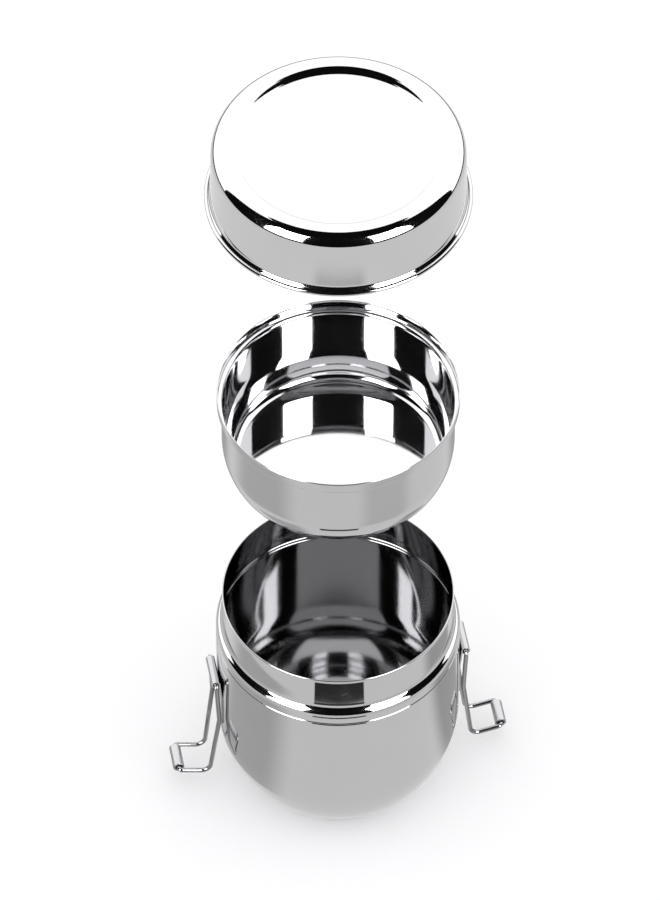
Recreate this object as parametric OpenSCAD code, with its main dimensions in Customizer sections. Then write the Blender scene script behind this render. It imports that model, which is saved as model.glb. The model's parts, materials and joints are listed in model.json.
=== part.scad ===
// Tiffin carrier: a round lunch container with a bowl that nests in its neck, a cap lid
// and a pair of swinging wire clips. The bowl and the lid are drawn lifted off, one above
// the other. The origin is the centre of the base, and +Z is up. Sizes are in millimetres.

/* [Container] */
// Height of the container, from its base to the rim of its neck
body_h = 124; // [118:1:136]
// Outer radius of the container's wall
body_r = 58; // [57.5:0.1:59]
// Height of the straight neck
neck_h = 18; // [17:0.5:19]
// Height of the shoulder between the neck and the wall
shoulder_h = 5.6; // [5.2:0.1:6.4]
// Height of the straight bead between the shoulder and the rolled line
bead_h = 3.8; // [2:0.1:5]
// Radius of the long curve from the wall towards the base
body_bend_r = 60; // [50:1:70]
// Angle that the long curve turns through, in degrees
body_bend_a = 43; // [36:1:48]
// Radius of the corner around the base
body_corner_r = 6; // [5:0.5:12]
// Thickness of the container's sheet
body_t = 0.7; // [0.5:0.1:0.8]

/* [Neck] */
// Outer radius of the container's neck
neck_r = 55; // [54.8:0.1:55.2]
// Depth of the rolled line under the shoulder
crease_d = 0.35; // [0.2:0.05:0.4]
// Height of the rolled line under the shoulder
crease_h = 1.4; // [1:0.1:2]

/* [Bowl] */
// Height of the bowl
bowl_h = 48.5; // [46:0.5:54]
// Outer radius of the band below the bowl's rim
band_r = 56.1; // [55.9:0.1:56.2]
// Height of that band
band_h = 5; // [4:0.5:5]
// Outer radius of the bowl's wall, which goes down inside the neck
bowl_r = 54; // [53.5:0.1:54]
// Radius of the long curve from the bowl's wall towards its base
bowl_bend_r = 35; // [30:1:45]
// Angle that the bowl's long curve turns through, in degrees
bowl_bend_a = 25; // [18:0.5:28]
// Radius of the corner around the bowl's base
bowl_corner_r = 6; // [5:0.5:8]
// Thickness of the bowl's sheet
bowl_t = 0.6; // [0.5:0.1:0.7]

/* [Lid] */
// Height of the lid
lid_h = 34; // [33:0.5:34]
// Outer radius of the lid's skirt, at its top
skirt_r = 57.1; // [57.1:0.1:57.3]
// How far the skirt widens from its top down to the flare above its hem
skirt_taper = 0.6; // [0.4:0.1:0.8]
// Radius of the lid's rounded shoulder
lid_round_r = 6.2; // [5:0.1:6.2]
// Radius of the sunken panel
panel_r = 43.5; // [43:0.1:43.6]
// Depth of the sunken panel
panel_d = 1.7; // [1.2:0.1:1.8]
// Radius of the wire-like rolled hem at the lid's lower edge
hem_r = 1.1; // [0.9:0.05:1.15]
// Thickness of the lid's sheet
lid_t = 0.6; // [0.5:0.1:0.6]

/* [Clips] */
// Height of the clips' hinges above the base
hinge_z = 75.8; // [75.6:0.1:77]
// Distance of the hinges from the container's axis
hinge_x = 60.5; // [60.5:0.1:61]
// Diameter of the clip wire
wire_d = 2.2; // [2:0.1:2.4]
// Distance between the two legs of a clip, from the hinge to their slight bend
leg_span = 20; // [20:0.5:22]
// Distance between the legs at the clip's foot and grip
foot_span = 16; // [16:0.5:18]
// Length of the leg down to its slight bend
leg_upper = 25; // [23:0.5:26]
// How far the leg leans in towards the wall by its slight bend
leg_lean = 1.1; // [0.8:0.1:1.2]
// Distance of the leg's foot outwards from the hinge
leg_out = 3.65; // [3:0.05:5]
// Depth of the leg's foot below the hinge
leg_drop = 65.5; // [65:0.1:66]
// Distance of the grip sleeve outwards from the hinge
grip_out = 18.4; // [17.5:0.1:19]
// Depth of the grip sleeve below the hinge
grip_drop = 62.2; // [62.2:0.05:62.8]
// Outer diameter of the grip sleeve
sleeve_d = 5.4; // [5:0.1:5.4]
// Length of the grip sleeve
sleeve_l = 12.5; // [11:0.5:12.5]

/* [Brackets] */
// Width of the bracket strap and its barrel
strap_w = 17; // [14:0.5:17]
// Length of the strap below the hinge
strap_l = 34; // [28:1:38]
// Thickness of the bracket strap
strap_t = 0.8; // [0.6:0.1:0.9]
// Outer diameter of the rolled barrel
barrel_d = 4.3; // [4.1:0.1:4.4]

/* [Lift] */
// How far the bowl is drawn above its nested place
bowl_lift = 138.5; // [60:0.5:160]
// How far the lid is drawn above its place on the bowl
lid_lift = 164; // [40:1:200]

/* [Hidden] */
$fn = 48;
// Straight steps in each arc of an outline
arc_steps = 8;
// Height of the bowl's ledge, from its band to its wall
ledge_h = 2.4;
// Gap left between the ledge and the neck's rim in the nested bowl
seat_gap = 0.5;
// Radial gap around the wire in the barrel
wire_gap = 0.35;
// Wall of the grip sleeve
sleeve_t = 1.1;
// Radial width of the step around the sunken panel
panel_step = 5;
// Height of the flare that joins the skirt to its hem, then how far out it goes
flare_h = 2.6;
flare_out = 1.5;
// Radius of the strap's lower corners
strap_corner_r = 6;
// Height of the web that joins the strap to its barrel
web_h = 5;
// How much wider than the wire the balls at its corners are
ball_extra = 0.03;
// Spare length that a cutting shape passes a surface by
past = 5;

wire_r = wire_d / 2;
bore_r = wire_r + wire_gap;
// Height of the lid's lower edge when the carrier is closed
lid_closed_z = body_h - neck_h - 3.7;
// The bowl hangs where its ledge is as wide as the inside of the neck
ledge_turn = 2 * atan((band_r - bowl_r) / ledge_h);
ledge_r = ledge_h / 2 / sin(ledge_turn);
seat_turn = acos(1 - (neck_r - body_t - bowl_r) / ledge_r);
seat_h = bowl_h - band_h - ledge_h + ledge_r * sin(seat_turn);
bowl_closed_z = body_h - seat_h + seat_gap;
// Distance of the hem's middle from the lid's axis
hem_x = skirt_r + skirt_taper + flare_out;
bowl_z = bowl_closed_z + bowl_lift;
lid_z = lid_closed_z + bowl_lift + lid_lift;
// One clip's path, in the plane of a leg: distance out from the hinge, then height above it
clip_path = [[0, 0], [-leg_lean, -leg_upper], [leg_out, -leg_drop], [grip_out, -grip_drop]];
// Half of the distance between the legs, at each point of that path
clip_half = [leg_span, leg_span, foot_span, foot_span] / 2;

// Points along an arc about the point c
function arc(c, r, from, to) =
    [for (i = [0:arc_steps]) let (a = from + (to - from) * i / arc_steps) c + r * [cos(a), sin(a)]];

// A curve of two equal arcs that leaves p and reaches q along the vertical
function upright_step(p, q) =
    let (run = abs(q.x - p.x),
         rise = abs(q.y - p.y),
         turn = 2 * atan(run / rise),
         r = rise / 2 / sin(turn),
         side = sign(q.x - p.x),
         way = sign(q.y - p.y))
    [for (i = [0:2 * arc_steps])
        let (a = turn * (i <= arc_steps ? i : 2 * arc_steps - i) / arc_steps,
             shift = [side * r * (1 - cos(a)), way * r * sin(a)])
        i <= arc_steps ? p + shift : q - shift];

// The same curve, leaving and arriving along the horizontal
function level_step(p, q) = [for (v = upright_step([p.y, p.x], [q.y, q.x])) [v.y, v.x]];

// Outer line of a round cup: flat base, corner, long curve, up to the start of the wall
function cup_line(wall_r, bend_r, bend_a, corner_r) =
    let (bend_c = [wall_r - bend_r, corner_r + (bend_r - corner_r) * sin(bend_a)],
         corner_c = bend_c + (bend_r - corner_r) * [cos(bend_a), -sin(bend_a)])
    concat([[0, 0]], arc(corner_c, corner_r, -90, -bend_a), arc(bend_c, bend_r, -bend_a, 0));

// Direction square to a line at its point i, on the left of the way the line runs
function left_of(line, i) =
    let (a = line[max(i - 1, 0)], b = line[min(i + 1, len(line) - 1)], d = b - a)
    [-d.y, d.x] / norm(d);

// Outline of a sheet: the line, then the line moved by t to its left, run backwards
function sheet_outline(line, t) =
    concat(line, [for (i = [len(line) - 1:-1:0]) i == 0 ? line[0] + [0, t] : line[i] + t * left_of(line, i)]);

// The line without points that repeat the one before
function tidy(line) = [for (i = [0:len(line) - 1]) if (i == 0 || norm(line[i] - line[i - 1]) > 0.01) line[i]];

function body_line() =
    let (neck_z = body_h - neck_h,
         wall_z = neck_z - shoulder_h,
         crease_z = wall_z - bead_h)
    tidy(concat(
        cup_line(body_r, body_bend_r, body_bend_a, body_corner_r),
        upright_step([body_r, crease_z - crease_h], [body_r - crease_d, crease_z - crease_h / 2]),
        upright_step([body_r - crease_d, crease_z - crease_h / 2], [body_r, crease_z]),
        upright_step([body_r, wall_z], [neck_r, neck_z]),
        [[neck_r, body_h]]));

function bowl_line() =
    tidy(concat(
        cup_line(bowl_r, bowl_bend_r, bowl_bend_a, bowl_corner_r),
        upright_step([bowl_r, bowl_h - band_h - ledge_h], [band_r, bowl_h - band_h]),
        [[band_r, bowl_h]]));

function lid_line() =
    let (round_c = [skirt_r - lid_round_r, lid_h - lid_round_r],
         flare_top = [skirt_r + skirt_taper, 2 * hem_r + flare_h])
    tidy(concat(
        [[0, lid_h - panel_d]],
        level_step([panel_r, lid_h - panel_d], [panel_r + panel_step, lid_h]),
        arc(round_c, lid_round_r, 90, 0),
        upright_step(flare_top, [hem_x, hem_r])));

// Solid of revolution from a sheet's outer line, with the sheet on its left for t above 0
module sheet_of_revolution(line, t) {
    rotate_extrude() polygon(sheet_outline(line, t));
}

// Closed loop of wire through the corners p, with a ball at each corner. The balls are a
// hair wider than the wire, so that their surfaces cross it cleanly.
module wire_loop(p) {
    for (i = [0:len(p) - 1]) {
        d = p[(i + 1) % len(p)] - p[i];
        translate(p[i]) {
            sphere(r = wire_r + ball_extra);
            rotate([0, acos(d.z / norm(d)), atan2(d.y, d.x)])
                cylinder(h = norm(d), r = wire_r);
        }
    }
}

// Round bar along Y, centred at y = 0
module cross_bar(r, l) {
    rotate([90, 0, 0]) cylinder(h = l, r = r, center = true);
}

module container_shell() {
    color("lightgray") sheet_of_revolution(body_line(), body_t);
}

module middle_bowl() {
    color("gainsboro")
        translate([0, 0, bowl_z])
            sheet_of_revolution(bowl_line(), bowl_t);
}

module lid() {
    color("whitesmoke")
        translate([0, 0, lid_z]) {
            sheet_of_revolution(lid_line(), -lid_t);
            rotate_extrude()
                translate([hem_x, hem_r])
                    circle(r = hem_r);
        }
}

// The strap's face, seen along X: a plate with round lower corners, z = 0 at the hinge
module strap_face() {
    side = strap_w / 2 - strap_corner_r;
    translate([-strap_w / 2, strap_corner_r - strap_l]) square([strap_w, strap_l - strap_corner_r]);
    translate([-side, -strap_l]) square([2 * side, strap_corner_r + past]);
    for (y = [-side, side])
        translate([y, strap_corner_r - strap_l]) circle(r = strap_corner_r);
}

// Bracket on the +X side: a strap that follows the wall, rolled into a barrel at its top
module clip_bracket() {
    difference() {
        union() {
            intersection() {
                translate([0, 0, hinge_z - strap_l - past])
                    difference() {
                        cylinder(h = strap_l + past, r = body_r + strap_t, $fn = 96);
                        translate([0, 0, -past])
                            cylinder(h = strap_l + 3 * past, r = body_r, $fn = 96);
                    }
                translate([0, 0, hinge_z])
                    rotate([90, 0, 90])
                        linear_extrude(hinge_x + past) strap_face();
            }
            difference() {
                translate([body_r - past, -strap_w / 2, hinge_z - web_h])
                    cube([past + strap_t, strap_w, web_h]);
                translate([0, 0, hinge_z - web_h - past])
                    cylinder(h = web_h + 2 * past, r = body_r, $fn = 96);
            }
            translate([hinge_x, 0, hinge_z]) cross_bar(barrel_d / 2, strap_w);
        }
        translate([hinge_x, 0, hinge_z]) cross_bar(bore_r, strap_w + 2 * past);
    }
}

// Clip wire on the +X side: a closed loop through the barrel and the grip sleeve
module clip_wire() {
    near = [for (i = [0:3]) [clip_path[i].x, -clip_half[i], clip_path[i].y]];
    far = [for (i = [3:-1:0]) [clip_path[i].x, clip_half[i], clip_path[i].y]];
    translate([hinge_x, 0, hinge_z])
        wire_loop(concat(near, far));
}

// Grip sleeve on the +X side: a loose tube around the clip's outer bar
module clip_sleeve() {
    translate([hinge_x + grip_out, 0, hinge_z - grip_drop])
        difference() {
            cross_bar(sleeve_d / 2, sleeve_l);
            cross_bar(sleeve_d / 2 - sleeve_t, sleeve_l + 2 * past);
        }
}

module right_clip_bracket() {
    color("silver") clip_bracket();
}

module right_clip_wire() {
    color("darkgray") clip_wire();
}

module right_clip_sleeve() {
    color("gray") clip_sleeve();
}

module left_clip_bracket() {
    color("silver") rotate([0, 0, 180]) clip_bracket();
}

module left_clip_wire() {
    color("darkgray") rotate([0, 0, 180]) clip_wire();
}

module left_clip_sleeve() {
    color("gray") rotate([0, 0, 180]) clip_sleeve();
}

container_shell();
middle_bowl();
lid();
left_clip_bracket();
left_clip_wire();
left_clip_sleeve();
right_clip_bracket();
right_clip_wire();
right_clip_sleeve();
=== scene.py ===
"""Tiffin carrier in mirror-polished steel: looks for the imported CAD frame.

The shells are lathed again as smooth sheets, the clips as bent wire and rolled strip. Every
piece is drawn in millimetres in the CAD's own frame and turned into metres by SCALE. The camera
and the studio are placed in metres.
"""
import json
import math

import bpy
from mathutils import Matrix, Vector


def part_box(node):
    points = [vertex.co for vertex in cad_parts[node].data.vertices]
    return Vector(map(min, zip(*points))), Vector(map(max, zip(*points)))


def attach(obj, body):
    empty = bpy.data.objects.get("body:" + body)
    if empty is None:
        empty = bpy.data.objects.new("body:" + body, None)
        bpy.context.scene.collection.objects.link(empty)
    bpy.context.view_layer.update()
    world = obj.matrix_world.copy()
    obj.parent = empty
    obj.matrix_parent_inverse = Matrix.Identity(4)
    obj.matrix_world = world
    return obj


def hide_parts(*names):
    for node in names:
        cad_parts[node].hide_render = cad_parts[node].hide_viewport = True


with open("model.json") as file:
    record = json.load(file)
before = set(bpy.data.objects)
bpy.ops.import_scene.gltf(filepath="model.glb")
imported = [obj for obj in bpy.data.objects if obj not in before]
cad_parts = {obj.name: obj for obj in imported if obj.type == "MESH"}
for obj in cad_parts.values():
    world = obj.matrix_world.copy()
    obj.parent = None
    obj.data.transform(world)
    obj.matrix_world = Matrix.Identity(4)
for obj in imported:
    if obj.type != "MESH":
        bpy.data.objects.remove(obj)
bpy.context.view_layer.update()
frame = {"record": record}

SCALE = 0.001
MM_PER_CM = 10

# ---------------------------------------------------------------- sizes from the frame


def box_mm(node):
    """Lowest and highest corner of a CAD node, in millimetres."""
    low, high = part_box(node)
    return [v / SCALE for v in low], [v / SCALE for v in high]


def joint(name):
    """The record's joint of that name."""
    return next(j for j in frame["record"]["behaviour"]["joints"] if j["name"] == name)


BODY_HIGH = box_mm("container_shell")[1]
BOWL_LOW, BOWL_HIGH = box_mm("middle_bowl")
LID_LOW, LID_HIGH = box_mm("lid")
SLEEVE_LOW, SLEEVE_HIGH = box_mm("right_clip_sleeve")
BRACKET_LOW, BRACKET_HIGH = box_mm("right_clip_bracket")
HINGE = [v / SCALE for v in joint("right_clip_swing")["pos_m"]]
GRIP = [v / SCALE for v in joint("right_sleeve_spin")["pos_m"]]

# ---------------------------------------------------------------- outlines

# Points this close are one point, radii under ON_AXIS are on the axis, and longer runs are split
SAME_POINT = 0.01
ON_AXIS = 0.001
LONGEST_RUN = 1.6


def arc(centre, radius, start, end, steps=24):
    """Points along an arc, with angles in degrees."""
    points = []
    for i in range(steps + 1):
        a = math.radians(start + (end - start) * i / steps)
        points.append((centre[0] + radius * math.cos(a), centre[1] + radius * math.sin(a)))
    return points


def upright_step(p, q, steps=14):
    """Two equal arcs from p to q that start and end along the vertical."""
    run, rise = q[0] - p[0], q[1] - p[1]
    turn = 2 * math.atan(abs(run / rise))
    radius = abs(rise) / 2 / math.sin(turn)
    side, way = math.copysign(1, run), math.copysign(1, rise)
    half = []
    for i in range(steps + 1):
        a = turn * i / steps
        half.append((side * radius * (1 - math.cos(a)), way * radius * math.sin(a)))
    rising = [(p[0] + x, p[1] + z) for x, z in half]
    arriving = [(q[0] - x, q[1] - z) for x, z in reversed(half)]
    return rising + arriving


def level_step(p, q, steps=14):
    """The same curve, starting and ending along the horizontal."""
    return [(r, z) for z, r in upright_step((p[1], p[0]), (q[1], q[0]), steps)]


def cup_line(wall_r, bend_r, bend_a, corner_r):
    """Outer line of a round cup from the centre of its base to the start of its wall."""
    turn = math.radians(bend_a)
    bend_c = (wall_r - bend_r, corner_r + (bend_r - corner_r) * math.sin(turn))
    corner_c = (
        bend_c[0] + (bend_r - corner_r) * math.cos(turn),
        bend_c[1] - (bend_r - corner_r) * math.sin(turn),
    )
    return [(0, 0)] + arc(corner_c, corner_r, -90, -bend_a) + arc(bend_c, bend_r, -bend_a, 0)


def even_out(line, longest):
    """Splits long runs of a line, so that shading stays true across them."""
    points = [line[0]]
    for p in line[1:]:
        q = points[-1]
        length = math.dist(p, q)
        if length < SAME_POINT:
            continue
        parts = max(1, math.ceil(length / longest))
        for i in range(1, parts + 1):
            points.append((q[0] + (p[0] - q[0]) * i / parts, q[1] + (p[1] - q[1]) * i / parts))
    return points


def offset(line, distance):
    """The line moved sideways to its left by distance. A point on the axis stays on it."""
    moved = []
    for i, p in enumerate(line):
        a, b = line[max(i - 1, 0)], line[min(i + 1, len(line) - 1)]
        length = math.dist(a, b)
        nx, nz = -(b[1] - a[1]) / length, (b[0] - a[0]) / length
        moved.append((p[0] + distance * nx if p[0] > 0 else 0, p[1] + distance * nz))
    return moved


def rounded_edge(p, q, steps=6):
    """Points of the half circle that turns counterclockwise from p to q, without its two ends."""
    centre = ((p[0] + q[0]) / 2, (p[1] + q[1]) / 2)
    start = math.degrees(math.atan2(p[1] - centre[1], p[0] - centre[0]))
    return arc(centre, math.dist(p, q) / 2, start, start + 180, steps)[1:-1]


def sheet_section(line, thickness):
    """Closed section of a sheet: its outer line, a round edge, and its inner line back."""
    outer = even_out(line, LONGEST_RUN)
    inner = offset(outer, thickness)
    return outer + rounded_edge(outer[-1], inner[-1]) + list(reversed(inner))


# ---------------------------------------------------------------- meshes

# V between two rows of a sheet, in centimetres, and the bevel on its edges
ROW_V = 0.05
BEVEL_SEGMENTS = 3
BEVEL_FROM_ANGLE = 50


def add_object(name, vertices, faces, uvs, material):
    """A mesh object from vertices in millimetres. uvs is None or one (u, v) per face corner."""
    mesh = bpy.data.meshes.new(name)
    mesh.from_pydata([[c * SCALE for c in v] for v in vertices], [], faces)
    if uvs:
        layer = mesh.uv_layers.new(name="finish")
        layer.data.foreach_set("uv", [c for uv in uvs for c in uv])
    mesh.shade_smooth()
    mesh.update()
    mesh.materials.append(material)
    piece = bpy.data.objects.new(name, mesh)
    bpy.context.scene.collection.objects.link(piece)
    return piece


def lathe(name, section, lift, material, lining=None, turns=224):
    """Turns a section about the Z axis. A section's end on the axis becomes a single point.

    U goes once round from 0 to 1, and V is the length along the section in centimetres.
    The lining is the material of the second half of the section, which is the sheet's inner side.
    """
    lengths = [0.0]
    for p, q in zip(section, section[1:]):
        lengths.append(lengths[-1] + math.dist(p, q))
    vertices, rings = [], []
    for r, z in section:
        if r < ON_AXIS:
            rings.append([len(vertices)] * turns)
            vertices.append((0, 0, z + lift))
            continue
        rings.append(range(len(vertices), len(vertices) + turns))
        for i in range(turns):
            a = 2 * math.pi * i / turns
            vertices.append((r * math.cos(a), r * math.sin(a), z + lift))
    faces, uvs = [], []
    for k in range(len(section) - 1):
        low, high = rings[k], rings[k + 1]
        for i in range(turns):
            j = (i + 1) % turns
            u, w = i / turns, (i + 1) / turns
            corners = [(low[i], u, k), (low[j], w, k), (high[j], w, k + 1), (high[i], u, k + 1)]
            kept = []
            for n, corner in enumerate(corners):
                if corner[0] != corners[n - 1][0]:
                    kept.append(corner)
            faces.append([c[0] for c in kept])
            uvs += [(c[1], lengths[c[2]] / MM_PER_CM) for c in kept]
    piece = add_object(name, vertices, faces, uvs, material)
    if lining:
        piece.data.materials.append(lining)
        first_inner = len(section) // 2
        for face in piece.data.polygons:
            face.material_index = int(face.index // turns >= first_inner)
    return piece


def fillet_loop(corners, radii, steps=12):
    """Closed 3-D path through the corners, each rounded to its own bend radius."""
    path, n = [], len(corners)
    for i, corner in enumerate(corners):
        p = Vector(corner)
        back = (Vector(corners[i - 1]) - p).normalized()
        ahead = (Vector(corners[(i + 1) % n]) - p).normalized()
        opening = back.angle(ahead)
        reach = radii[i] / math.tan(opening / 2)
        middle = (back + ahead).normalized() * (radii[i] / math.sin(opening / 2))
        centre = p + middle
        start, end = p + back * reach - centre, p + ahead * reach - centre
        turn = start.angle(end)
        for k in range(steps + 1):
            a = turn * k / steps
            arm = start * math.sin(turn - a) + end * math.sin(a)
            path.append(centre + arm / math.sin(turn))
    return path


def split_runs(path, longest):
    """The closed path with extra points along its long runs."""
    points = []
    for p, q in zip(path, path[1:] + path[:1]):
        parts = max(1, math.ceil((q - p).length / longest))
        points += [p.lerp(q, i / parts) for i in range(parts)]
    return points


def wire_tube(name, path, radius, material, sides=20):
    """Round wire along a closed path that doesn't start along the Z axis.

    U goes once round the wire from 0 to 1, and V is the length along it in centimetres.
    """
    n = len(path)
    normal = Vector((0, 0, 1))
    first = (path[1] - path[-1]).normalized()
    frames, lengths = [], [0.0]
    for i, p in enumerate(path):
        along = (path[(i + 1) % n] - path[i - 1]).normalized()
        normal = (normal - along * normal.dot(along)).normalized()
        frames.append((p, normal.copy(), along.cross(normal)))
        lengths.append(lengths[-1] + (path[(i + 1) % n] - p).length)
    # After a full loop the normal comes back turned, so the last ring joins on by the nearest side
    last_normal = (frames[-1][1] - first * frames[-1][1].dot(first)).normalized()
    twist = math.atan2(last_normal.dot(frames[0][2]), last_normal.dot(frames[0][1]))
    slip = round(twist / (2 * math.pi) * sides)
    vertices = []
    for p, a, b in frames:
        for k in range(sides):
            t = 2 * math.pi * k / sides
            vertices.append(p + (a * math.cos(t) + b * math.sin(t)) * radius)
    faces, uvs = [], []
    for i in range(n):
        shift = slip if i == n - 1 else 0
        nxt = (i + 1) % n
        for k in range(sides):
            m = (k + 1) % sides
            faces.append([i * sides + k, i * sides + m,
                          nxt * sides + (m + shift) % sides, nxt * sides + (k + shift) % sides])
            u0, u1 = k / sides, (k + 1) / sides
            v0, v1 = lengths[i] / MM_PER_CM, lengths[i + 1] / MM_PER_CM
            uvs += [(u0, v0), (u1, v0), (u1, v1), (u0, v1)]
    return add_object(name, vertices, faces, uvs, material)


def sheet_grid(name, rows, thickness, edge_round, material):
    """A sheet through rows of points, given thickness by Solidify and soft edges by Bevel."""
    wide = len(rows[0])
    vertices = [p for row in rows for p in row]
    faces, uvs = [], []
    for i in range(len(rows) - 1):
        for k in range(wide - 1):
            corners = [i * wide + k, i * wide + k + 1, (i + 1) * wide + k + 1, (i + 1) * wide + k]
            faces.append(corners)
            for c in corners:
                uvs.append((vertices[c][1] / MM_PER_CM, c // wide * ROW_V))
    piece = add_object(name, vertices, faces, uvs, material)
    solid = piece.modifiers.new("thickness", "SOLIDIFY")
    solid.thickness = thickness * SCALE
    solid.offset = 0
    soft = piece.modifiers.new("soft_edges", "BEVEL")
    soft.width = edge_round * SCALE
    soft.segments = BEVEL_SEGMENTS
    soft.limit_method = "ANGLE"
    soft.angle_limit = math.radians(BEVEL_FROM_ANGLE)
    soft.harden_normals = True
    return piece


# ---------------------------------------------------------------- materials


class Nodes:
    """Short hand for adding and linking shader nodes."""

    def __init__(self, name):
        self.material = bpy.data.materials.new(name)
        self.material.use_nodes = True
        self.tree = self.material.node_tree
        self.shader = self.tree.nodes["Principled BSDF"]

    def add(self, kind, inputs=None, **settings):
        node = self.tree.nodes.new(kind)
        for key, value in settings.items():
            setattr(node, key, value)
        for key, value in (inputs or {}).items():
            if isinstance(value, bpy.types.NodeSocket):
                self.tree.links.new(value, node.inputs[key])
            else:
                node.inputs[key].default_value = value
        return node

    def link(self, output, socket):
        self.tree.links.new(output, self.shader.inputs[socket])


# How far the smudges darken and lighten the steel, and what lines and scratches add to roughness
DARK_TINT = 0.97
LIGHT_TINT = 1.03
LINE_SHARE = 0.5
SCRATCH_ROUGHNESS = 0.08


def steel(name, colour, rough_low, rough_high, line_stretch, line_depth, wave_depth):
    """Polished steel: fine lines along the polishing direction, scratches and slight waviness.

    line_stretch scales the UVs: the lines run along the axis with the small number.
    """
    n = Nodes(name)
    n.shader.inputs["Metallic"].default_value = 1.0
    uv = n.add("ShaderNodeUVMap", uv_map="finish")
    place = n.add("ShaderNodeTexCoord")
    stretched = n.add("ShaderNodeMapping", {"Vector": uv.outputs["UV"], "Scale": line_stretch})
    lines = n.add("ShaderNodeTexNoise", {
        "Vector": stretched.outputs["Vector"], "Scale": 1.0, "Detail": 5.0, "Roughness": 0.7})
    smudge = n.add("ShaderNodeTexNoise", {
        "Vector": place.outputs["Object"], "Scale": 38.0, "Detail": 4.0, "Roughness": 0.6})
    waves = n.add("ShaderNodeTexNoise", {
        "Vector": place.outputs["Object"], "Scale": 24.0, "Detail": 1.0, "Roughness": 0.3})
    cells = n.add("ShaderNodeTexVoronoi", {
        "Vector": place.outputs["Object"], "Scale": 210.0, "Randomness": 1.0},
        feature="DISTANCE_TO_EDGE")
    hairline = n.add("ShaderNodeMapRange", {
        "Value": cells.outputs["Distance"], "From Min": 0.0, "From Max": 0.02,
        "To Min": 1.0, "To Max": 0.0})
    patch = n.add("ShaderNodeMapRange", {
        "Value": smudge.outputs["Fac"], "From Min": 0.52, "From Max": 0.66,
        "To Min": 0.0, "To Max": 1.0})
    scratches = n.add("ShaderNodeMath", {
        0: hairline.outputs["Result"], 1: patch.outputs["Result"]}, operation="MULTIPLY")
    rough = n.add("ShaderNodeMapRange", {
        "Value": smudge.outputs["Fac"], "From Min": 0.3, "From Max": 0.7,
        "To Min": rough_low, "To Max": rough_high})
    rough_lines = n.add("ShaderNodeMath", {
        0: lines.outputs["Fac"], 1: rough_high * LINE_SHARE, 2: rough.outputs["Result"]},
        operation="MULTIPLY_ADD")
    rough_worn = n.add("ShaderNodeMath", {
        0: scratches.outputs["Value"], 1: SCRATCH_ROUGHNESS, 2: rough_lines.outputs["Value"]},
        operation="MULTIPLY_ADD")
    n.link(rough_worn.outputs["Value"], "Roughness")
    tint = n.add("ShaderNodeMix", {
        "Factor": smudge.outputs["Fac"],
        "A": (*[c * DARK_TINT for c in colour], 1.0), "B": (*[c * LIGHT_TINT for c in colour], 1.0)},
        data_type="RGBA")
    n.link(tint.outputs["Result"], "Base Color")
    fine = n.add("ShaderNodeBump", {
        "Height": lines.outputs["Fac"], "Strength": 1.0, "Distance": line_depth * SCALE})
    broad = n.add("ShaderNodeBump", {
        "Height": waves.outputs["Fac"], "Strength": 1.0, "Distance": wave_depth * SCALE,
        "Normal": fine.outputs["Normal"]})
    n.link(broad.outputs["Normal"], "Normal")
    return n.material


def record_colour(slot, shade=1.0):
    """The base colour of one of the record's material slots, darkened by shade."""
    colour = next(m["base_color"][:3] for m in frame["record"]["materials"] if m["slot"] == slot)
    return [c * shade for c in colour]


POLISHED = steel(
    "polished_steel_finish", record_colour("polished_steel"), rough_low=0.025, rough_high=0.06,
    line_stretch=(3.0, 60.0, 1.0), line_depth=0.0006, wave_depth=0.05)
# The container's inside: the same polished steel, a little rougher for its drawn finish, with its
# colour darkened to 0.68 as painted shade for the dim inside of the deep cup
SHADED_INNER_STEEL = steel(
    "drawn_inside_painted_shade", record_colour("polished_steel", 0.68), rough_low=0.04, rough_high=0.08,
    line_stretch=(3.0, 60.0, 1.0), line_depth=0.0008, wave_depth=0.06)
STRIP = steel(
    "bracket_steel_finish", record_colour("bracket_steel", 0.85), rough_low=0.06, rough_high=0.14,
    line_stretch=(2.0, 40.0, 1.0), line_depth=0.0015, wave_depth=0.03)
WIRE = steel(
    "wire_steel_finish", record_colour("wire_steel", 0.8), rough_low=0.08, rough_high=0.16,
    line_stretch=(12.0, 1.2, 1.0), line_depth=0.0015, wave_depth=0.02)
ROLLED = steel(
    "sleeve_steel_finish", record_colour("sleeve_steel", 0.8), rough_low=0.14, rough_high=0.26,
    line_stretch=(30.0, 2.0, 1.0), line_depth=0.003, wave_depth=0.02)

# ---------------------------------------------------------------- round shells

# Sizes of the sheet that the nodes' boxes don't give, the same as in the CAD
BODY_T = 0.7
BODY_BEND_R = 60.0
BODY_BEND_A = 43.0
BODY_CORNER_R = 6.0
NECK_R = 55.0
NECK_H = 18.0
SHOULDER_H = 5.6
BEAD_H = 3.8
CREASE_D = 0.35
CREASE_H = 1.4
CREASE_STEPS = 5

BOWL_T = 0.6
BOWL_BEND_R = 35.0
BOWL_BEND_A = 25.0
BOWL_CORNER_R = 6.0
BAND_OUT = 2.1
BAND_H = 5.0
LEDGE_H = 2.4

LID_T = 0.6
SKIRT_R = 57.1
SKIRT_TAPER = 0.6
LID_ROUND_R = 6.2
PANEL_R = 43.5
PANEL_STEP = 5.0
PANEL_D = 1.7
HEM_R = 1.1
FLARE_TOP = 4.8
# The sheet stops in the hem at this height on its outer side, and this much higher inside
FLARE_LOW = 1.9
FLARE_INNER_UP = 0.2
HEM_START = 118
HEM_END = -178
HEM_STEPS = 28


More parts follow.
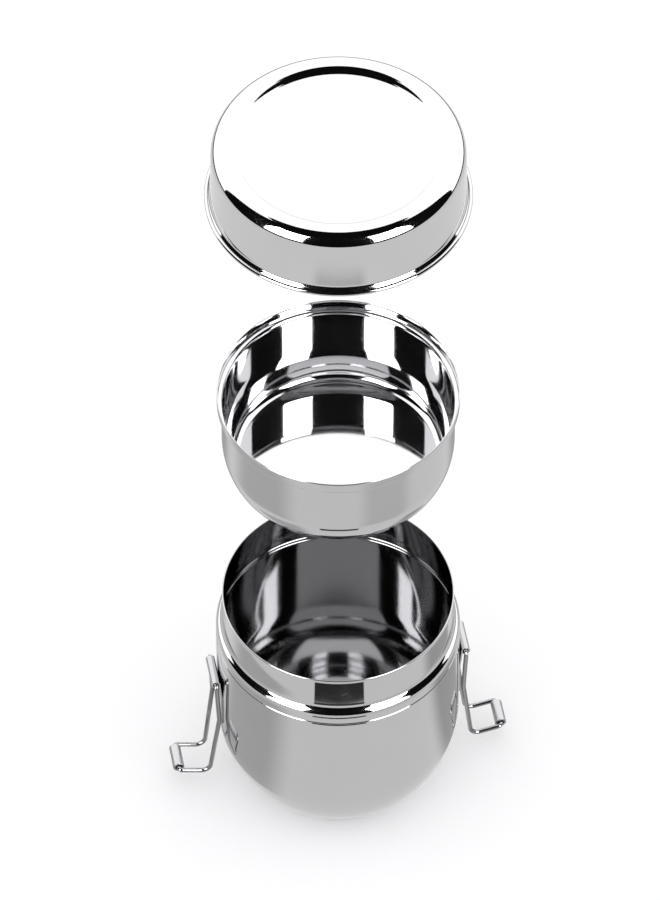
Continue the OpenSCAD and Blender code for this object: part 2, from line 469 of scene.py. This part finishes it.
def container_line():
    """Outer line of the container, from the centre of its base to its rim."""
    wall_r, height = BODY_HIGH[0], BODY_HIGH[2]
    neck_z = height - NECK_H
    wall_z = neck_z - SHOULDER_H
    crease_top = wall_z - BEAD_H
    crease_low = crease_top - CREASE_H
    crease = (wall_r - CREASE_D, crease_top - CREASE_H / 2)
    line = cup_line(wall_r, BODY_BEND_R, BODY_BEND_A, BODY_CORNER_R)
    line += upright_step((wall_r, crease_low), crease, CREASE_STEPS)
    line += upright_step(crease, (wall_r, crease_top), CREASE_STEPS)
    line += upright_step((wall_r, wall_z), (NECK_R, neck_z))
    return line + [(NECK_R, height - BODY_T / 2)]


def bowl_line():
    """Outer line of the bowl, from the centre of its base to its rim."""
    band_r, height = BOWL_HIGH[0], BOWL_HIGH[2] - BOWL_LOW[2]
    wall_r, band_low = band_r - BAND_OUT, height - BAND_H
    line = cup_line(wall_r, BOWL_BEND_R, BOWL_BEND_A, BOWL_CORNER_R)
    line += upright_step((wall_r, band_low - LEDGE_H), (band_r, band_low))
    return line + [(band_r, height - BOWL_T / 2)]


def lid_section():
    """Section of the lid: sunken panel, crest, round shoulder, skirt, flare and rolled hem."""
    height = LID_HIGH[2] - LID_LOW[2]
    hem_x = LID_HIGH[0] - HEM_R
    line = [(0, height - PANEL_D)]
    line += level_step((PANEL_R, height - PANEL_D), (PANEL_R + PANEL_STEP, height))
    line += arc((SKIRT_R - LID_ROUND_R, height - LID_ROUND_R), LID_ROUND_R, 90, 0)
    line += upright_step((SKIRT_R + SKIRT_TAPER, FLARE_TOP), (hem_x, HEM_R))
    outer = [p for p in even_out(line, LONGEST_RUN) if p[1] > FLARE_LOW]
    inner = [p for p in offset(outer, -LID_T) if p[1] > FLARE_LOW + FLARE_INNER_UP]
    hem = arc((hem_x, HEM_R), HEM_R, HEM_START, HEM_END, HEM_STEPS)
    return outer + hem + list(reversed(inner))


def put(piece, body, slot, *nodes):
    """The piece stands for those CAD nodes, on that body. The slot argument is not used."""
    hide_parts(*nodes)
    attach(piece, body)


# The inner side of the container's sheet takes the darker steel, whose colour is painted shade
container = lathe("container_sheet", sheet_section(container_line(), BODY_T), 0, POLISHED, SHADED_INNER_STEEL)
put(container, "container", "polished_steel", "container_shell")
bowl = lathe("bowl_sheet", sheet_section(bowl_line(), BOWL_T), BOWL_LOW[2], POLISHED)
put(bowl, "bowl", "polished_steel", "middle_bowl")
cover = lathe("lid_sheet", lid_section(), LID_LOW[2], POLISHED)
put(cover, "lid", "polished_steel", "lid")

# ---------------------------------------------------------------- clips

# The wire loop: where its legs bend, how far apart they are, and the radius of each bend
WIRE_R = 1.1
LEG_BEND = (-1.1, -25.0)
FOOT_BEND = (3.65, -65.5)
LEG_Y = 10.0
FOOT_Y = 8.0
BENDS = [1.45, 9.0, 4.2, 1.6]
WIRE_RUN = 2.0

# The rolled sleeve: its open seam, in degrees, and where round the wire the seam is
SLEEVE_T = 0.95
SEAM = 14.0
SEAM_AT = 250
SLEEVE_STEPS = 56
SLEEVE_COLUMNS = 16
SLEEVE_EDGE = 0.16

# The strap on the wall and its barrel
STRAP_HALF = BRACKET_HIGH[1]
STRAP_LOW = BRACKET_LOW[2]
STRAP_T = 0.7
STRAP_GAP = 0.05
STRAP_CORNER_R = 6.0
STRAP_COLUMNS = 34
STRAP_RUN = 0.7
STRAP_EDGE = 0.18
BARREL_R = BRACKET_HIGH[0] - HINGE[0]
BARREL_END = -140
BARREL_STEPS = 44
LEAN_BELOW_HINGE = 4.5
LEAN_STEPS = 8
ROLL_BELOW_HINGE = 0.4

# Below the lean the strap takes on the wall's curve, fully so from HUG_H further down. Where its
# middle is more than NEAR_WALL off the wall it is part of the barrel
WALL_R = BODY_HIGH[0]
NEAR_WALL = 1
HUG_H = 6.0

# The strap's spot welds: how far up they are, and how wide and deep the dents
WELDS_UP = (8.0, 22.0)
WELD_R = 1.9
WELD_D = 0.14


def clip_wire(side, name):
    """The bent wire loop: pin, legs with a slight bend, foot and the bar under the sleeve."""
    legs = [(0, 0), LEG_BEND, FOOT_BEND, (GRIP[0] - HINGE[0], GRIP[2] - HINGE[2])]
    halves = [LEG_Y, LEG_Y, FOOT_Y, FOOT_Y]
    near = [(side * (HINGE[0] + x), -y, HINGE[2] + z) for (x, z), y in zip(legs, halves)]
    far = [(x, -y, z) for x, y, z in reversed(near)]
    path = fillet_loop(near + far, BENDS + BENDS[::-1])
    return wire_tube(name, split_runs(path, WIRE_RUN), WIRE_R, WIRE)


def clip_sleeve(side, name):
    """A strip rolled round the loop's outer bar, with its seam left just open."""
    middle_r = (SLEEVE_HIGH[2] - SLEEVE_LOW[2] - SLEEVE_T) / 2
    line = arc((GRIP[0], GRIP[2]), middle_r, SEAM_AT + SEAM / 2, SEAM_AT + 360 - SEAM / 2, SLEEVE_STEPS)
    across = [SLEEVE_HIGH[1] * (2 * k / SLEEVE_COLUMNS - 1) for k in range(SLEEVE_COLUMNS + 1)]
    rows = [[(side * x, y, z) for y in across] for x, z in line]
    return sheet_grid(name, rows, SLEEVE_T, SLEEVE_EDGE, ROLLED)


def strap_path():
    """Middle line of the strap in the XZ plane: up the wall, then rolled into the barrel."""
    middle_x = WALL_R + STRAP_GAP + STRAP_T / 2
    roll_r = BARREL_R - STRAP_T / 2
    lean_z = HINGE[2] - LEAN_BELOW_HINGE
    roll_start = (HINGE[0] - roll_r, HINGE[2] - ROLL_BELOW_HINGE)
    line = [(middle_x, STRAP_LOW), (middle_x, lean_z)]
    line += upright_step((middle_x, lean_z), roll_start, LEAN_STEPS)
    line += arc((HINGE[0], HINGE[2]), roll_r, 180, BARREL_END, BARREL_STEPS)
    return even_out(line, STRAP_RUN)


def strap_half_width(z):
    """Half the width of the strap at a height: its two lower corners are round."""
    rise = max(0.0, STRAP_CORNER_R - (z - STRAP_LOW))
    return STRAP_HALF - STRAP_CORNER_R + math.sqrt(max(0.0, STRAP_CORNER_R ** 2 - rise ** 2))


def weld_dent(y, z):
    """How deep the strap is pressed in by its spot welds at a place on it."""
    for up in WELDS_UP:
        away = math.hypot(y, z - STRAP_LOW - up)
        if away < WELD_R:
            return WELD_D * (1 - (away / WELD_R) ** 2)
    return 0.0


def clip_bracket(side, name):
    """The strip that is spot-welded to the wall and rolled over the wire at its top."""
    rows = []
    for x, z in strap_path():
        lean = 0.0
        half = STRAP_HALF
        if x < WALL_R + NEAR_WALL:
            lean = min(1.0, max(0.0, (HINGE[2] - LEAN_BELOW_HINGE - z) / HUG_H))
            half = strap_half_width(z)
        row = []
        for k in range(STRAP_COLUMNS + 1):
            y = half * (2 * k / STRAP_COLUMNS - 1)
            hug = (WALL_R - math.sqrt(WALL_R ** 2 - y ** 2)) * lean
            dent = weld_dent(y, z) if lean > 0 else 0.0
            row.append((side * (x - hug - dent), y, z))
        rows.append(row)
    return sheet_grid(name, rows, STRAP_T, STRAP_EDGE, STRIP)


for side_name, side in (("left", -1), ("right", 1)):
    bracket = clip_bracket(side, side_name + "_strap")
    put(bracket, "container", "bracket_steel", side_name + "_clip_bracket")
    wire = clip_wire(side, side_name + "_wire_loop")
    put(wire, side_name + "_clip", "wire_steel", side_name + "_clip_wire")
    sleeve = clip_sleeve(side, side_name + "_grip_sleeve")
    put(sleeve, side_name + "_sleeve", "sleeve_steel", side_name + "_clip_sleeve")

# ---------------------------------------------------------------- camera

VIEW_AZIMUTH = -10.0
VIEW_ELEVATION = 50.0
DISTANCE = 3.92
# In metres, in the plane that faces the camera through the centre of the neck's rim: the height
# of the view, and how far that centre is below the middle of the view and to the right of it
VIEW_HEIGHT = 0.426
RIM_BELOW_MIDDLE = 0.0667
AXIS_RIGHT_OF_MIDDLE = 0.0038
SENSOR = 36.0


def direction(azimuth, elevation):
    """Unit vector from the object, azimuth degrees round from the camera's side, to the right."""
    a, e = math.radians(VIEW_AZIMUTH + azimuth), math.radians(elevation)
    return Vector((math.sin(a) * math.cos(e), -math.cos(a) * math.cos(e), math.sin(e)))


def add_camera():
    """Long-lens camera: the axis a little right of the middle, the neck's rim low in the frame."""
    elevation = math.radians(VIEW_ELEVATION)
    rise = RIM_BELOW_MIDDLE / math.cos(elevation)
    target = Vector((0, 0, BODY_HIGH[2] * SCALE + rise))
    back = direction(0, VIEW_ELEVATION)
    right = Vector((0, 0, 1)).cross(back).normalized()
    data = bpy.data.cameras.new("camera")
    data.sensor_width = SENSOR
    data.lens = (DISTANCE + rise * math.sin(elevation)) / VIEW_HEIGHT * SENSOR
    camera = bpy.data.objects.new("camera", data)
    camera.location = target + back * DISTANCE - right * AXIS_RIGHT_OF_MIDDLE
    camera.rotation_euler = back.to_track_quat("Z", "Y").to_euler()
    bpy.context.scene.collection.objects.link(camera)
    bpy.context.scene.camera = camera


add_camera()

# ---------------------------------------------------------------- studio

STUDIO_CENTRE = Vector((0, 0, 0.2))
FLOOR_R = 0.75
FLOOR_TURNS = 128
CARD_R = 2.2
CARD_STEPS = 16
TABLE_STEPS = 48

# The room's light to the camera and rough surfaces, and in reflections
ROOM_GLOW = 1.45
MIRRORED_ROOM_GLOW = 0.006

# Heights of the floor and of the flat cards over it, in millimetres
FLOOR_Z = -0.02
CARD_LOW_Z = -0.01
CARD_Z = 0.0
CARD_HIGH_Z = 0.01


def emission(name, strength):
    """A plain white glowing surface."""
    material = bpy.data.materials.new(name)
    material.use_nodes = True
    tree = material.node_tree
    tree.nodes.clear()
    glow = tree.nodes.new("ShaderNodeEmission")
    glow.inputs["Strength"].default_value = strength
    out = tree.nodes.new("ShaderNodeOutputMaterial")
    tree.links.new(glow.outputs[0], out.inputs[0])
    return material


def soft_emission(name, strength, around, softness):
    """A glow that fades to the glow around it at both ends of the U direction."""
    material = emission(name, strength)
    tree = material.node_tree
    uv = tree.nodes.new("ShaderNodeUVMap")
    uv.uv_map = "finish"
    parts = tree.nodes.new("ShaderNodeSeparateXYZ")
    nearness = tree.nodes.new("ShaderNodeMath")
    # Nought at both ends of U, rising to a half in its middle
    nearness.operation = "PINGPONG"
    nearness.inputs[1].default_value = 0.5
    fade = tree.nodes.new("ShaderNodeMapRange")
    fade.interpolation_type = "SMOOTHSTEP"
    fade.inputs["From Max"].default_value = softness
    fade.inputs["To Min"].default_value = around
    fade.inputs["To Max"].default_value = strength
    tree.links.new(uv.outputs["UV"], parts.inputs["Vector"])
    tree.links.new(parts.outputs["X"], nearness.inputs[0])
    tree.links.new(nearness.outputs["Value"], fade.inputs["Value"])
    glow = next(n for n in tree.nodes if n.type == "EMISSION")
    tree.links.new(fade.outputs["Result"], glow.inputs["Strength"])
    return material


def stage_card(name, vertices, faces, uvs, glow):
    """A glowing card, seen only in reflections."""
    piece = add_object(name, vertices, faces, uvs, glow)
    piece.visible_camera = False
    piece.visible_diffuse = False
    piece.visible_shadow = False


def card(name, azimuths, elevations, strength):
    """A curved card round the object, with its angles in degrees."""
    vertices, faces = [], []
    for j in range(CARD_STEPS + 1):
        for i in range(CARD_STEPS + 1):
            a = azimuths[0] + (azimuths[1] - azimuths[0]) * i / CARD_STEPS
            e = elevations[0] + (elevations[1] - elevations[0]) * j / CARD_STEPS
            p = STUDIO_CENTRE + direction(a, e) * CARD_R
            vertices.append([c / SCALE for c in p])
    for j in range(CARD_STEPS):
        for i in range(CARD_STEPS):
            k = j * (CARD_STEPS + 1) + i
            faces.append([k, k + 1, k + CARD_STEPS + 2, k + CARD_STEPS + 1])
    stage_card(name, vertices, faces, None, emission(name + "_glow", strength))


def table_card(name, azimuths, radii, strength, z=CARD_Z, around=None, softness=0.3):
    """A flat sector of the table top. Its ends fade to the glow around it, where that is given."""
    vertices, faces, uvs = [], [], []
    for i in range(TABLE_STEPS + 1):
        a = azimuths[0] + (azimuths[1] - azimuths[0]) * i / TABLE_STEPS
        for r in radii:
            p = direction(a, 0) * r
            vertices.append([p.x / SCALE, p.y / SCALE, z])
    for i in range(TABLE_STEPS):
        faces.append([2 * i, 2 * i + 1, 2 * i + 3, 2 * i + 2])
        u, w = i / TABLE_STEPS, (i + 1) / TABLE_STEPS
        uvs += [(u, 0.0), (u, 1.0), (w, 1.0), (w, 0.0)]
    if around is None:
        glow = emission(name + "_glow", strength)
    else:
        glow = soft_emission(name + "_glow", strength, around, softness)
    stage_card(name, vertices, faces, uvs, glow)


def add_floor():
    """A pale round table top."""
    n = Nodes("floor_finish")
    n.shader.inputs["Base Color"].default_value = (0.93, 0.93, 0.94, 1)
    n.shader.inputs["Roughness"].default_value = 0.75
    n.shader.inputs["Specular IOR Level"].default_value = 0.2
    circle = arc((0, 0), FLOOR_R / SCALE, 0, 360, FLOOR_TURNS)[:-1]
    rim = [(x, y, FLOOR_Z) for x, y in circle]
    floor = add_object("floor", rim, [list(range(FLOOR_TURNS))], None, n.material)
    floor.visible_glossy = False


def add_world():
    """White to the camera, soft light on rough surfaces, and a dark room in reflections."""
    world = bpy.data.worlds.new("studio")
    world.use_nodes = True
    tree = world.node_tree
    tree.nodes.clear()
    rays = tree.nodes.new("ShaderNodeLightPath")
    shade = tree.nodes.new("ShaderNodeMapRange")
    shade.inputs["To Min"].default_value = ROOM_GLOW
    shade.inputs["To Max"].default_value = MIRRORED_ROOM_GLOW
    tree.links.new(rays.outputs["Is Glossy Ray"], shade.inputs["Value"])
    sky = tree.nodes.new("ShaderNodeBackground")
    out = tree.nodes.new("ShaderNodeOutputWorld")
    tree.links.new(shade.outputs["Result"], sky.inputs["Strength"])
    tree.links.new(sky.outputs[0], out.inputs[0])
    bpy.context.scene.world = world


TABLE_GLOW = 0.78
OUTER_GLOW = 0.85
TABLE_CARD_R = 0.36
OUTER_CARD_R = 1.6

add_world()
add_floor()
table_card("table_card", (-180, 180), (0.0, TABLE_CARD_R), TABLE_GLOW, CARD_LOW_Z)
table_card("outer_card", (-180, 180), (TABLE_CARD_R, OUTER_CARD_R), OUTER_GLOW, CARD_LOW_Z)
table_card("rear_shade", (118, 242), (0.06, 0.34), 0.42, around=TABLE_GLOW, softness=0.22)
table_card("left_shade", (-112, -30), (0.06, 0.14), 0.5, around=TABLE_GLOW)
table_card("right_shade", (72, 128), (0.06, 0.14), 0.42, around=TABLE_GLOW)
table_card("bowl_left_shade", (-118, -34), (0.18, 0.34), 0.56, around=TABLE_GLOW)
table_card("bowl_right_shade", (14, 74), (0.18, 0.34), 0.62, around=TABLE_GLOW)
table_card("neck_shade", (-19, 21), (0.139, 0.160), 0.03, CARD_HIGH_Z)
table_card("skirt_shade", (-24, 26), (0.38, 0.46), 0.52, around=OUTER_GLOW, softness=0.2)
card("back_card", (100, 260), (0, 69), 1.7)
card("left_card", (-58, -27), (4, 54), 9.0)
card("right_card", (27, 58), (4, 54), 9.0)

settings = bpy.context.scene.view_settings
settings.view_transform = "Standard"
settings.look = "None"
